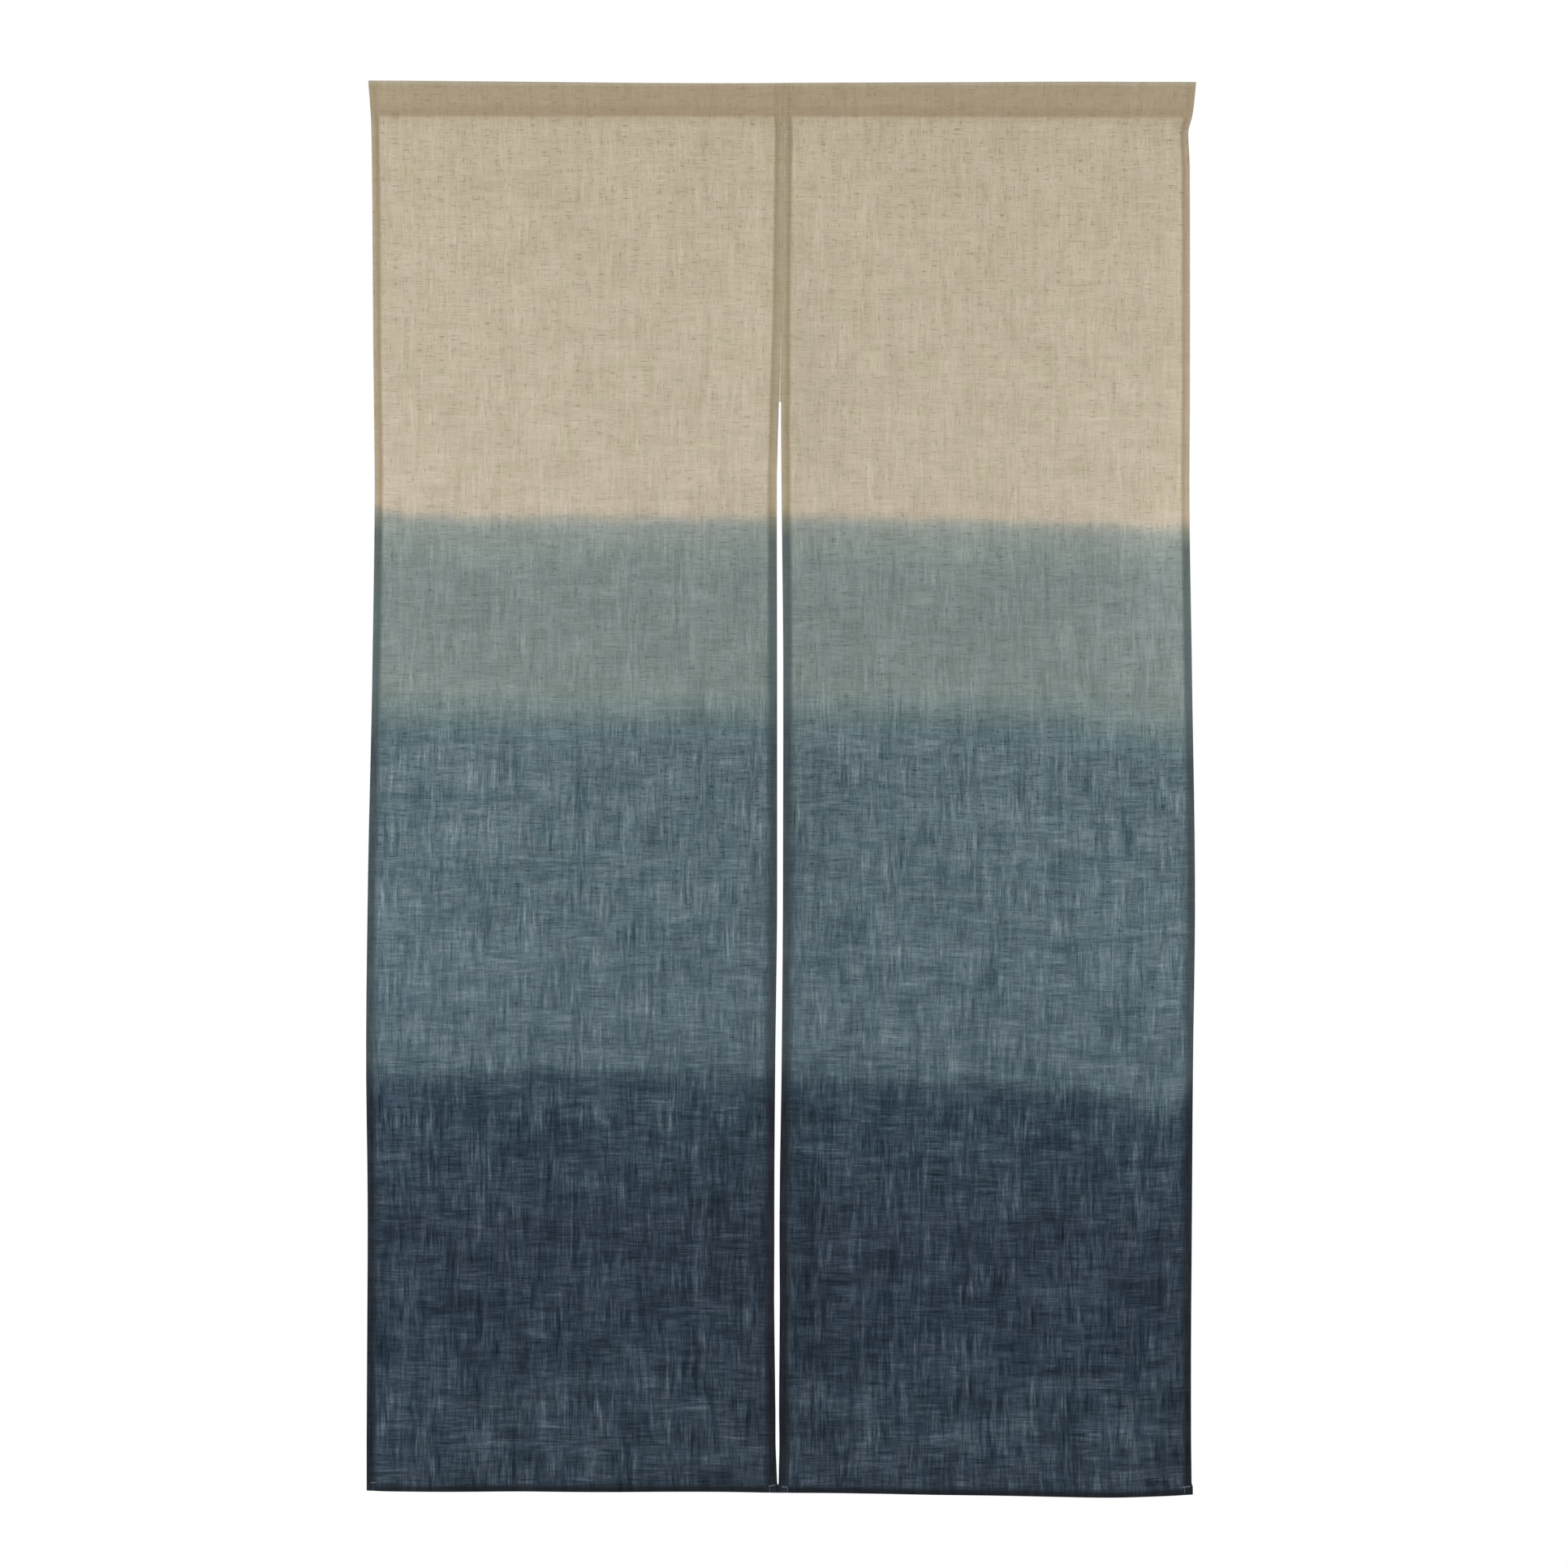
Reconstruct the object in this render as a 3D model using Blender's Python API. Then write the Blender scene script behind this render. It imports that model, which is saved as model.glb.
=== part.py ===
"""Two-panel linen noren, modelled as it hangs from a rod pushed through its top pocket.

Metres, +Z up, the face of the cloth towards -Y.  The origin is the middle of the top edge.
Drops are measured down from the top edge.
"""
import math
from collections import namedtuple

import bmesh
import bpy

MM = 0.001

# Cloth and hems
CLOTH = 1.2 * MM            # one layer of linen
HEM_LAYERS = 1.0 * MM       # what the turned-in layers of a hem add behind that layer
SIDE_HEM = 8.4 * MM
FOOT_HEM = 8.0 * MM
HEM_STEP = 0.6 * MM         # run of the small step at a hem's inner edge
PIECE_GAP = 0.3 * MM        # between neighbouring pieces

# Rod pocket: a teardrop sleeve, closed below by the line of stitches
POCKET_DEPTH = 14.0 * MM    # outside, front to back
POCKET_WIDEST = 0.35        # where that depth is reached, as a share of the pocket's height
POCKET_FOOT = 3.0 * MM      # the layers sewn together at the line of stitches
POCKET_FOOT_SOLID = 3.0 * MM
POCKET_STATIONS = 9
POCKET_SIDE_POINTS = 8

# Stay: a short strip sewn behind the two inner hems where the slit begins
STAY_WIDTH = 14.0 * MM
STAY_THICKNESS = 1.0 * MM
STAY_TOP = 264.0 * MM
STAY_FOOT = 341.5 * MM
STAY_ROWS = 6

# Grid of a panel
PANEL_COLUMNS = 20
HEAD_DROP = 90.0 * MM       # closer rows down to here, where the edges draw in
HEAD_ROWS = 4
BAND_ROWS = 9
MID_DROP = 0.5              # level at which a column's nominal place across is taken
CREASE_ANGLE = 35.0         # degrees; sharper edges than this aren't shaded smooth

# Edges of the two panels, one row for each level of the curtain.  The two inner edges are
# sewn together down to the slit, part below it, and touch again at the foot.
Level = namedtuple("Level", "drop left_outer left_inner right_inner right_outer")
LEVELS = [
    Level(0, -440.4, 1.25, 1.55, 442.7),
    Level(36.5, -438.1, 1.45, 1.75, 439.0),
    Level(52, -437.6, 2.45, 2.75, 434.4),
    Level(90, -436.9, 2.15, 2.45, 436.2),
    Level(276, -435.5, -0.15, 0.15, 436.7),
    Level(341, -434.8, -2.2, -0.3, 436.6),
    Level(430, -434.0, -4.7, 0.3, 436.1),
    Level(630, -436.5, -4.3, 2.1, 438.9),
    Level(870, -441.5, -4.2, 1.7, 442.1),
    Level(1040, -443.2, -6.1, 0.4, 439.8),
    Level(1210, -441.5, -7.1, -2.0, 438.5),
    Level(1380, -442.3, -6.4, -2.3, 437.2),
    Level(1480, -442.7, -4.8, -2.8, 437.4),
    Level(1512, -442.5, -3.4, -3.1, 438.4),
]

# Height of the top edge above the origin, along the curtain
TopPoint = namedtuple("TopPoint", "x rise")
TOP_EDGE = [
    TopPoint(-440, 1.7),
    TopPoint(-335, 1.0),
    TopPoint(-65, -1.2),
    TopPoint(3, -0.8),
    TopPoint(200, 0.0),
    TopPoint(300, 0.5),
    TopPoint(443, 0.1),
]

# Drop of the line of stitches under the pocket, along the curtain
StitchPoint = namedtuple("StitchPoint", "x drop")
STITCH_LINE = [
    StitchPoint(-440, 36.1),
    StitchPoint(0, 36.4),
    StitchPoint(443, 37.7),
]

# Drop of the foot, along the curtain
FootPoint = namedtuple("FootPoint", "x drop")
FOOT_EDGE = [
    FootPoint(-443, 1503.0),
    FootPoint(-400, 1504.6),
    FootPoint(-75, 1505.0),
    FootPoint(-3, 1506.4),
    FootPoint(60, 1506.2),
    FootPoint(210, 1508.8),
    FootPoint(345, 1511.5),
    FootPoint(392, 1509.9),
    FootPoint(438, 1507.3),
]

# Long soft folds.  Each runs from x_head to x_foot while the drop goes from head to foot,
# stands forward by its height, and dies away over fade at both ends.
Fold = namedtuple("Fold", "panel x_head x_foot half_width forward head foot fade")
FOLDS = [
    Fold("left", -300, -150, 185, 9.0, 380, 1260, 300),
    Fold("left", -365, -350, 75, 4.5, 1060, 1900, 260),
    Fold("left", -285, -275, 50, -3.0, 1150, 1900, 300),
    Fold("left", -200, -190, 80, 6.0, 1150, 1900, 300),
    Fold("left", -5, -5, 90, -4.0, 560, 1900, 420),
    Fold("right", 362, 318, 72, 6.5, 45, 1010, 120),
    Fold("right", 445, 440, 85, -6.0, 60, 1010, 200),
    Fold("right", 150, 105, 120, -4.0, 420, 1300, 360),
    Fold("right", 120, 120, 110, 6.0, 1150, 1900, 300),
    Fold("right", 285, 285, 90, -5.0, 1120, 1900, 300),
    Fold("right", 445, 445, 110, 6.5, 1120, 1900, 300),
    Fold("right", 5, 0, 55, -3.0, 560, 1900, 420),
]

# Dip-dyed bands down the cloth
Band = namedtuple("Band", "name foot colour")
BANDS = [
    Band("linen_natural", 466, (0.50, 0.42, 0.31, 1.0)),
    Band("linen_sage", 672, (0.20, 0.25, 0.24, 1.0)),
    Band("linen_slate", 1064, (0.105, 0.15, 0.175, 1.0)),
    Band("linen_navy", 1512, (0.035, 0.05, 0.07, 1.0)),
]
LINEN_ROUGHNESS = 0.85


def clear_scene():
    for thing in list(bpy.data.objects):
        bpy.data.objects.remove(thing, do_unlink=True)


def linen(band):
    """The dyed linen of one band."""
    material = bpy.data.materials.new(band.name)
    material.use_nodes = True
    shader = material.node_tree.nodes["Principled BSDF"]
    shader.inputs["Base Color"].default_value = band.colour
    shader.inputs["Roughness"].default_value = LINEN_ROUGHNESS
    shader.inputs["Metallic"].default_value = 0.0
    return material


def smooth_curve(rows, at, key, value):
    """Monotone cubic through the named columns of a table, in metres."""
    at = at / MM
    places = [getattr(row, key) for row in rows]
    values = [getattr(row, value) for row in rows]
    if at <= places[0]:
        return values[0] * MM
    if at >= places[-1]:
        return values[-1] * MM
    slopes = [(values[i + 1] - values[i]) / (places[i + 1] - places[i])
              for i in range(len(rows) - 1)]
    tangents = [slopes[0]]
    for before, after in zip(slopes, slopes[1:]):
        turning = before * after <= 0
        tangents.append(0.0 if turning else 2 * before * after / (before + after))
    tangents.append(slopes[-1])
    i = max(k for k in range(len(rows) - 1) if places[k] <= at)
    span = places[i + 1] - places[i]
    t = (at - places[i]) / span
    blend = t * t * (3 - 2 * t)
    easing_out = tangents[i] * span * t * (1 - t) ** 2
    easing_in = tangents[i + 1] * span * t * t * (t - 1)
    return (values[i] + (values[i + 1] - values[i]) * blend + easing_out + easing_in) * MM


def edge(drop, side):
    return smooth_curve(LEVELS, drop, "drop", side)


def top_rise(x):
    return smooth_curve(TOP_EDGE, x, "x", "rise")


def stitch_drop(x):
    return smooth_curve(STITCH_LINE, x, "x", "drop")


def foot_drop(x):
    return smooth_curve(FOOT_EDGE, x, "x", "drop")


def ease(t):
    t = min(max(t, 0.0), 1.0)
    return t * t * (3 - 2 * t)


def fold_depth(panel, x, drop):
    """How far the cloth lies behind the curtain's plane (+Y) at one point of a panel."""
    depth = 0.0
    for fold in FOLDS:
        along = (drop / MM - fold.head) / (fold.foot - fold.head)
        if fold.panel != panel or not 0 < along < 1:
            continue
        crest = fold.x_head + (fold.x_foot - fold.x_head) * along
        across = min(abs(x / MM - crest) / fold.half_width, 1.0)
        bell = 0.5 * (1 + math.cos(math.pi * across))
        strength = ease((drop / MM - fold.head) / fold.fade)
        strength *= ease((fold.foot - drop / MM) / fold.fade)
        depth -= fold.forward * MM * bell * strength
    return depth


def add_object(name, verts, faces, face_bands, materials):
    mesh = bpy.data.meshes.new(name)
    mesh.from_pydata(verts, [], faces)
    for material in materials:
        mesh.materials.append(material)
    for polygon, band in zip(mesh.polygons, face_bands):
        polygon.material_index = band
    work = bmesh.new()
    work.from_mesh(mesh)
    bmesh.ops.recalc_face_normals(work, faces=work.faces)
    work.to_mesh(mesh)
    work.free()
    mesh.shade_smooth()
    mesh.set_sharp_from_angle(angle=math.radians(CREASE_ANGLE))
    thing = bpy.data.objects.new(name, mesh)
    bpy.context.scene.collection.objects.link(thing)
    return thing


def sheet_object(name, front, back, row_bands, materials):
    """Closed sheet between two grids of points, both given as rows from the top down."""
    rows = len(front)
    columns = len(front[0])
    verts = [point for grid in (front, back) for row in grid for point in row]
    behind = rows * columns

    def at(row, column, layer=0):
        return layer * behind + row * columns + column

    faces = []
    bands = []
    for r in range(rows - 1):
        for c in range(columns - 1):
            corners = [(r, c), (r + 1, c), (r + 1, c + 1), (r, c + 1)]
            faces.append([at(i, j) for i, j in corners])
            faces.append([at(i, j, 1) for i, j in reversed(corners)])
            bands += [row_bands[r]] * 2
    rim = [(0, c) for c in range(columns)] + [(r, columns - 1) for r in range(1, rows)]
    rim += [(rows - 1, c) for c in range(columns - 2, -1, -1)]
    rim += [(r, 0) for r in range(rows - 2, 0, -1)]
    for (r0, c0), (r1, c1) in zip(rim, rim[1:] + rim[:1]):
        faces.append([at(r0, c0), at(r1, c1), at(r1, c1, 1), at(r0, c0, 1)])
        bands.append(row_bands[min(r0, r1, rows - 2)])
    return add_object(name, verts, faces, bands, materials)


def panel_columns():
    """Places across a panel from its left edge: pairs of a share of the inner width and an
    offset, so that both hems keep their width wherever the panel narrows."""
    inset = SIDE_HEM + HEM_STEP
    columns = [(0.0, 0.0), (0.0, SIDE_HEM), (0.0, inset)]
    columns += [(i / PANEL_COLUMNS, inset * (1 - 2 * i / PANEL_COLUMNS))
                for i in range(1, PANEL_COLUMNS)]
    return columns + [(1.0, -inset), (1.0, -SIDE_HEM), (1.0, 0.0)]


def panel_rows():
    """Places down a panel: the two drops that each lies between, how far along it is from
    the first to the second, and the band below it.  The first drop is the stitch line."""
    rows = [(None, HEAD_DROP, step / HEAD_ROWS, 0) for step in range(HEAD_ROWS)]
    start = HEAD_DROP
    for index, band in enumerate(BANDS):
        foot = band.foot * MM
        for step in range(BAND_ROWS):
            rows.append((start, foot, step / BAND_ROWS, index))
        start = foot
    return rows


def build_panel(name, panel, left_side, right_side, materials):
    """One hemmed width of cloth, from the line of stitches down to its foot."""
    front = []
    back = []
    rows = panel_rows()
    hem_rows = [FOOT_HEM + HEM_STEP, FOOT_HEM, 0.0]
    columns = panel_columns()
    for r in range(len(rows) + len(hem_rows)):
        front_row = []
        back_row = []
        for share, offset in columns:
            nominal = edge(MID_DROP, left_side) * (1 - share) + offset
            nominal += edge(MID_DROP, right_side) * share
            foot = foot_drop(nominal)
            if r < len(rows):
                start, end, part, band = rows[r]
                start = stitch_drop(nominal) + PIECE_GAP if start is None else start
                end = foot - hem_rows[0] if band == len(BANDS) - 1 else end
                drop = start + (end - start) * part
            else:
                drop = foot - hem_rows[r - len(rows)]
            left = edge(drop, left_side)
            right = edge(drop, right_side)
            x = left + (right - left) * share + offset
            in_side_hem = min(x - left, right - x) < SIDE_HEM + HEM_STEP / 2
            in_foot_hem = foot - drop < FOOT_HEM + HEM_STEP / 2
            y = fold_depth(panel, x, drop)
            layers = HEM_LAYERS if in_side_hem or in_foot_hem else 0.0
            front_row.append((x, y - CLOTH / 2, -drop))
            back_row.append((x, y + CLOTH / 2 + layers, -drop))
        front.append(front_row)
        back.append(back_row)
    row_bands = [row[3] for row in rows] + [len(BANDS) - 1] * len(hem_rows)
    return sheet_object(name, front, back, row_bands, materials)


def pocket_half_depth(t):
    """Half the outside depth of the pocket at a share t of the way down it."""
    half = POCKET_DEPTH / 2
    foot = POCKET_FOOT / 2
    if t < POCKET_WIDEST:
        return half * math.sqrt(1 - (1 - t / POCKET_WIDEST) ** 2)
    fall = (t - POCKET_WIDEST) / (1 - POCKET_WIDEST)
    return foot + (half - foot) * 0.5 * (1 + math.cos(math.pi * fall))


def pocket_sections():
    """Outer and inner outlines of the pocket: a share of its height and a depth, in turn
    down the back, across the foot and up the front."""
    height = stitch_drop(0.0)
    crown = CLOTH / height
    floor = 1 - POCKET_FOOT_SOLID / height
    shares = [0.5 * (1 - math.cos(math.pi * i / POCKET_SIDE_POINTS))
              for i in range(POCKET_SIDE_POINTS + 1)]
    outer_side = [(t, pocket_half_depth(t)) for t in shares[1:]]
    inner_side = []
    for t in shares[1:]:
        place = crown + (floor - crown) * t
        inner_side.append((place, max(pocket_half_depth(place) - CLOTH, CLOTH / 4)))
    sections = []
    for top, side, foot in ((0.0, outer_side, 1.0), (crown, inner_side, floor)):
        up_front = [(t, -depth) for t, depth in reversed(side)]
        sections.append([(top, 0.0)] + side + [(foot, 0.0)] + up_front)
    return sections


def build_pocket(name, left_side, right_side, materials):
    """The half of the rod pocket over one panel, open at both ends."""
    outlines = pocket_sections()
    count = len(outlines[0])
    verts = []
    for station in range(POCKET_STATIONS):
        share = station / (POCKET_STATIONS - 1)
        for outline in outlines:
            for t, depth in outline:
                nominal = edge(MID_DROP, left_side) * (1 - share)
                nominal += edge(MID_DROP, right_side) * share
                top = -top_rise(nominal)
                drop = top + (stitch_drop(nominal) - top) * t
                x = edge(drop, left_side) * (1 - share) + edge(drop, right_side) * share
                verts.append((x, depth, -drop))

    def at(station, layer, point):
        return (station * 2 + layer) * count + point % count

    faces = []
    for point in range(count):
        for station in range(POCKET_STATIONS - 1):
            for layer in (0, 1):
                faces.append([at(station, layer, point), at(station, layer, point + 1),
                              at(station + 1, layer, point + 1), at(station + 1, layer, point)])
        for station in (0, POCKET_STATIONS - 1):
            faces.append([at(station, 0, point), at(station, 0, point + 1),
                          at(station, 1, point + 1), at(station, 1, point)])
    return add_object(name, verts, faces, [0] * len(faces), materials)


def build_stay(name, materials):
    """Short strip of the same linen behind both inner hems at the head of the slit."""
    front = []
    back = []
    for row in range(STAY_ROWS + 1):
        drop = STAY_TOP + (STAY_FOOT - STAY_TOP) * row / STAY_ROWS
        seam = (edge(drop, "left_inner") + edge(drop, "right_inner")) / 2
        rear = CLOTH / 2 + HEM_LAYERS + PIECE_GAP
        xs = (seam - STAY_WIDTH / 2, seam, seam + STAY_WIDTH / 2)
        front.append([(x, rear, -drop) for x in xs])
        back.append([(x, rear + STAY_THICKNESS, -drop) for x in xs])
    return sheet_object(name, front, back, [0] * STAY_ROWS, materials)


def main():
    clear_scene()
    materials = [linen(band) for band in BANDS]
    natural = materials[:1]
    build_panel("panel_left", "left", "left_outer", "left_inner", materials)
    build_panel("panel_right", "right", "right_inner", "right_outer", materials)
    build_pocket("pocket_left", "left_outer", "left_inner", natural)
    build_pocket("pocket_right", "right_inner", "right_outer", natural)
    build_stay("slit_stay", natural)


main()
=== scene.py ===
"""Looks of a two-panel, dip-dyed linen noren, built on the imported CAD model.

Each panel is one continuous cloth: its side edges are folded twice to the back, its foot is
hemmed, and its head is turned over into the rod pocket.  Metres, +Z up, the face towards -Y.
"""
import math
from collections import namedtuple

import bpy
import numpy as np
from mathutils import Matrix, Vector
from mathutils.bvhtree import BVHTree


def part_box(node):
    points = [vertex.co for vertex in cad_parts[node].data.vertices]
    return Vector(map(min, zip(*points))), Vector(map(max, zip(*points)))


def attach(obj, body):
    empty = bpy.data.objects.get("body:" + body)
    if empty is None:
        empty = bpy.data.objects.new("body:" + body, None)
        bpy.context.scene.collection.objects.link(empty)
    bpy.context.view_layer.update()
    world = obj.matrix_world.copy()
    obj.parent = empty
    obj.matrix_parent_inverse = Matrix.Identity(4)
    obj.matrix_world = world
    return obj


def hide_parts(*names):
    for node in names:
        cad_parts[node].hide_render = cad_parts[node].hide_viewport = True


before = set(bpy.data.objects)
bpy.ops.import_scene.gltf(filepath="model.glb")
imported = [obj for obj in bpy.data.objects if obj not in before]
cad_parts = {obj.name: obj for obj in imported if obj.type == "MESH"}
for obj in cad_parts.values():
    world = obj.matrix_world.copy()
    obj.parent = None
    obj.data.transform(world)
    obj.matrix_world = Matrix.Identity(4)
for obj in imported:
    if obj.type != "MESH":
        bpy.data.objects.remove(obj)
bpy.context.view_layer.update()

MM = 0.001

# ---------------------------------------------------------------- sizes of the sewn cloth
PLY = 0.45 * MM              # from the middle of one layer of linen to the next
OUTER_HEM = 8.4 * MM
SLIT_HEM = 9.2 * MM
FOOT_HEM = 8.0 * MM
POCKET_ALLOWANCE = 9.5 * MM  # turned under at the back of the pocket
RAW_EDGE_INSET = 1.2 * MM    # from a fold to the raw edge tucked inside it
STITCH_INSET = 1.7 * MM      # from the inner edge of a hem to its line of stitches
POCKET_STITCH = 1.6 * MM     # from the pocket's lower edge up to its line of stitches
FACE_LIFT = 0.3 * MM         # the cloth's face, in front of the middle of the CAD sheet

SEAM_FOOT = 268 * MM         # the two panels are joined edge to edge down to here
SEAM_GAP = 0.15 * MM         # from each panel's CAD edge to the middle of the seam
SEAM_LAP = 0.12 * MM         # how far past that middle each joined edge is pressed
SEAM_FADE = 10 * MM          # height over which the joined edges part
# How much wider than the CAD slit the slit hangs open, in mm: drop, wider
SlitTrim = namedtuple("SlitTrim", "drop wider")
SLIT_TRIMS = [
    SlitTrim(268, 0.0),
    SlitTrim(282, 0.5),
    SlitTrim(318, 0.5),
    SlitTrim(345, 0.4),
    SlitTrim(360, 0.0),
    SlitTrim(1240, 0.3),
    SlitTrim(1299, 1.2),
    SlitTrim(1342, 0.8),
    SlitTrim(1386, 0.25),
    SlitTrim(1420, 0.2),
    SlitTrim(1437, 0.7),
    SlitTrim(1455, 1.2),
    SlitTrim(1464, 1.2),
    SlitTrim(1478, 0.7),
    SlitTrim(1494, 0.4),
]
SLIT_MEETS = 1495.5 * MM     # drop at which the two foot hems swell until they touch
SLIT_CLOSES = 3.0 * MM       # over this height
FOOT_LAP = 0.05 * MM         # how far past their middle each of them is pressed
FOOT_FLARE = 1.2 * MM        # how far the right panel's foot hem stands out past its side

# Relief of the sewing
HEM_PILLOW = 0.28 * MM
STITCH_GROOVE = 0.30 * MM
PUCKER = 0.16 * MM
PUCKER_WAVE = 8.5 * MM
PUCKER_REACH = 11 * MM
RUMPLE = 0.45 * MM
RUMPLE_SIZE = (0.055, 0.085)  # across and down, in metres
CRUMPLE_SHARE = 0.4           # of the rumples' height, for the finer creases
CRUMPLE_SIZE = (0.021, 0.03)

# Grid of a panel
COLUMN_STEP = 7.0 * MM
ROW_STEP = 2.8 * MM
# Columns in from the edge of an outer hem, and rows below the pocket and above the foot, in mm
HEM_FACE_INSETS = [1.2, 2.9, 4.2, 5.6, 6.4, 7.2, 8.1, 9.0, 9.8, 10.7, 12.0, 13.3, 15.0, 18.0]
HEAD_STEPS = [0.9, 1.8, 3.0, 4.8, 7.2, 10.0, 13.0]
FOOT_STEPS = [14.0, 12.0, 10.7, 9.8, 9.0, 8.1, 7.2, 6.4, 5.3, 3.4]
POCKET_WIDEST = 0.15
POCKET_ARC_ROWS = 8
POCKET_FALL_ROWS = 13
ARC_STEPS = 5

# Stations at which the CAD model is read, and how many of them its lines are smoothed over
SIDE_DROPS = (-6, 1520, 2)   # mm: first, past the last, step
FACE_DROPS = (44, 1498, 8)
FACE_SHARES = 61
FACE_MARGIN = 0.006          # share of the width left out at each side
SIDE_SMOOTHING = 1.3
TOP_SMOOTHING = 2.0
FOOT_SMOOTHING = 1.2
FACE_SMOOTHING = (3.5, 2.6)  # down, across

# The stay's cross-section: where each column lies in half widths of the slit, how many mm
# past that, whether it stands forward between the hems, and how light it is: a painted highlight
# along its left, where it stands forward, and painted shade at its right
STAY_ROWS = 29
StaySection = namedtuple("StaySection", "across past forward tone")
STAY_SECTIONS = [
    StaySection(-1, 5.0, 0, 1.0),
    StaySection(-1, 1.5, 0, 1.0),
    StaySection(-1, 0.4, 0, 1.0),
    StaySection(-1, 0.25, 1, 1.30),
    StaySection(-0.2, 0.0, 1, 1.30),
    StaySection(0.25, 0.0, 1, 0.96),
    StaySection(1, 0.25, 1, 0.92),
    StaySection(1, 0.4, 0, 1.0),
    StaySection(1, 1.5, 0, 1.0),
    StaySection(1, 5.0, 0, 1.0),
]
STAY_OPENS = 0.12 * MM       # half the width of the slit at which it has come forward
STAY_RECESS = 0.13 * MM      # behind the face of the hems

# Thread
THREAD = 0.34 * MM
THREAD_SIDES = 5
SEAM_START = 40 * MM         # drop of the first stitch of a side hem
STITCH_LENGTH = 2.5 * MM
STITCH_PITCH = 3.1 * MM
STITCH_WANDER = 0.12 * MM
STITCH_RINGS = [(-0.5, 0.16 * MM), (-0.36, -0.04 * MM), (0.36, -0.04 * MM), (0.5, 0.16 * MM)]
STITCH_TAPER = [0.7, 1.0, 1.0, 0.7]
TACK_THREAD = 0.62 * MM
TACK_TAPER = [0.55, 0.95, 1.05, 0.95, 1.05, 0.95, 0.55]
# The size of a thread's twist in mm, how much it shades the thread, the thread's brightness,
# the strength and height of its relief, and its roughness
ThreadLook = namedtuple("ThreadLook", "twist shading brightness strength height rough")
DYED_THREAD = ThreadLook(0.4, 0.10, 0.84, 0.5, 0.05 * MM, 0.7)
PALE_THREAD = ThreadLook(0.5, 0.15, 1.0, 0.6, 0.08 * MM, 0.65)
Tack = namedtuple("Tack", "panel x drop x_end drop_end strands")    # mm
TACKS = [
    Tack("left", -438.4, 1495.0, -432.0, 1494.7, 2),
    Tack("left", -13.9, 1499.4, -6.1, 1498.0, 2),
    Tack("left", -12.1, 1500.2, -12.3, 1505.6, 1),
    Tack("right", 0.6, 1499.8, 6.8, 1500.0, 2),
    Tack("right", 6.6, 1500.3, 6.9, 1505.2, 1),
    Tack("right", 426.9, 1499.7, 437.0, 1498.3, 2),
    Tack("right", 430.4, 1500.2, 430.6, 1505.6, 1),
]

# ---------------------------------------------------------------- dye
# Drop of the three dye lines along the curtain, in mm: x, and the lines of sage, slate, navy
DyeLine = namedtuple("DyeLine", "x sage slate navy")
DYE_LINES = [
    DyeLine(-442, 460, 673, 1064),
    DyeLine(-395, 463, 674, 1065),
    DyeLine(-340, 466, 674, 1059),
    DyeLine(-150, 467, 675, 1058),
    DyeLine(-36, 466, 674, 1064),
    DyeLine(60, 467, 669, 1064),
    DyeLine(235, 470, 673, 1072),
    DyeLine(320, 473, 676, 1076),
    DyeLine(362, 476, 683, 1087),
    DyeLine(400, 478, 691, 1098),
    DyeLine(422, 478, 694, 1107),
    DyeLine(433, 478, 694, 1086),
    DyeLine(443, 477, 693, 1074),
]
DYE_LEVEL = DyeLine(0, 467, 673, 1062)
DYE_FOOT = 1512.0

# Colour down the cloth, in mm from the top, as display red, green, blue from 0 to 255.  The
# values of SINGLE_LAYER were not all chosen by hand: another program scaled an earlier table
# by measured ratios.
Dye = namedtuple("Dye", "drop red green blue")
SINGLE_LAYER = [
    Dye(0, 185, 172, 149),
    Dye(300, 186, 174, 153),
    Dye(455, 187, 175, 155),
    Dye(461, 182, 171, 153),
    Dye(468, 154, 156, 147),
    Dye(476, 139, 146, 140),
    Dye(490, 130, 140, 134),
    Dye(516, 122, 134, 131),
    Dye(560, 120, 131, 129),
    Dye(650, 120, 132, 129),
    Dye(664, 114, 128, 128),
    Dye(676, 104, 119, 119),
    Dye(690, 95, 113, 117),
    Dye(705, 91, 108, 113),
    Dye(760, 88, 105, 111),
    Dye(960, 85, 102, 110),
    Dye(1040, 83, 99, 107),
    Dye(1054, 77, 94, 103),
    Dye(1064, 62, 78, 88),
    Dye(1076, 52, 68, 80),
    Dye(1125, 49, 64, 76),
    Dye(1220, 44, 56, 69),
    Dye(1345, 43, 56, 69),
    Dye(1420, 50, 63, 75),
    Dye(1512, 47, 59, 71),
]
# Colour of the folded layers, darker than a single layer as painted shade where less light
# passes through them
FOLDED_LAYERS_SHADED = [
    # Painted highlight: the top rows, along the pocket's top fold, are lighter and greyer
    Dye(0, 168, 161, 139),
    Dye(3, 166, 155, 130),
    Dye(5, 164, 148, 122),
    Dye(100, 165, 150, 124),
    Dye(455, 168, 154, 128),
    Dye(468, 128, 130, 118),
    Dye(490, 97, 108, 106),
    Dye(650, 93, 105, 106),
    Dye(676, 83, 95, 97),
    Dye(705, 70, 83, 88),
    Dye(1040, 66, 79, 85),
    Dye(1064, 46, 57, 66),
    Dye(1090, 35, 43, 52),
    Dye(1512, 30, 38, 47),
]
TACK_DYE = Dye(1512, 90, 96, 105)
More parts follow.
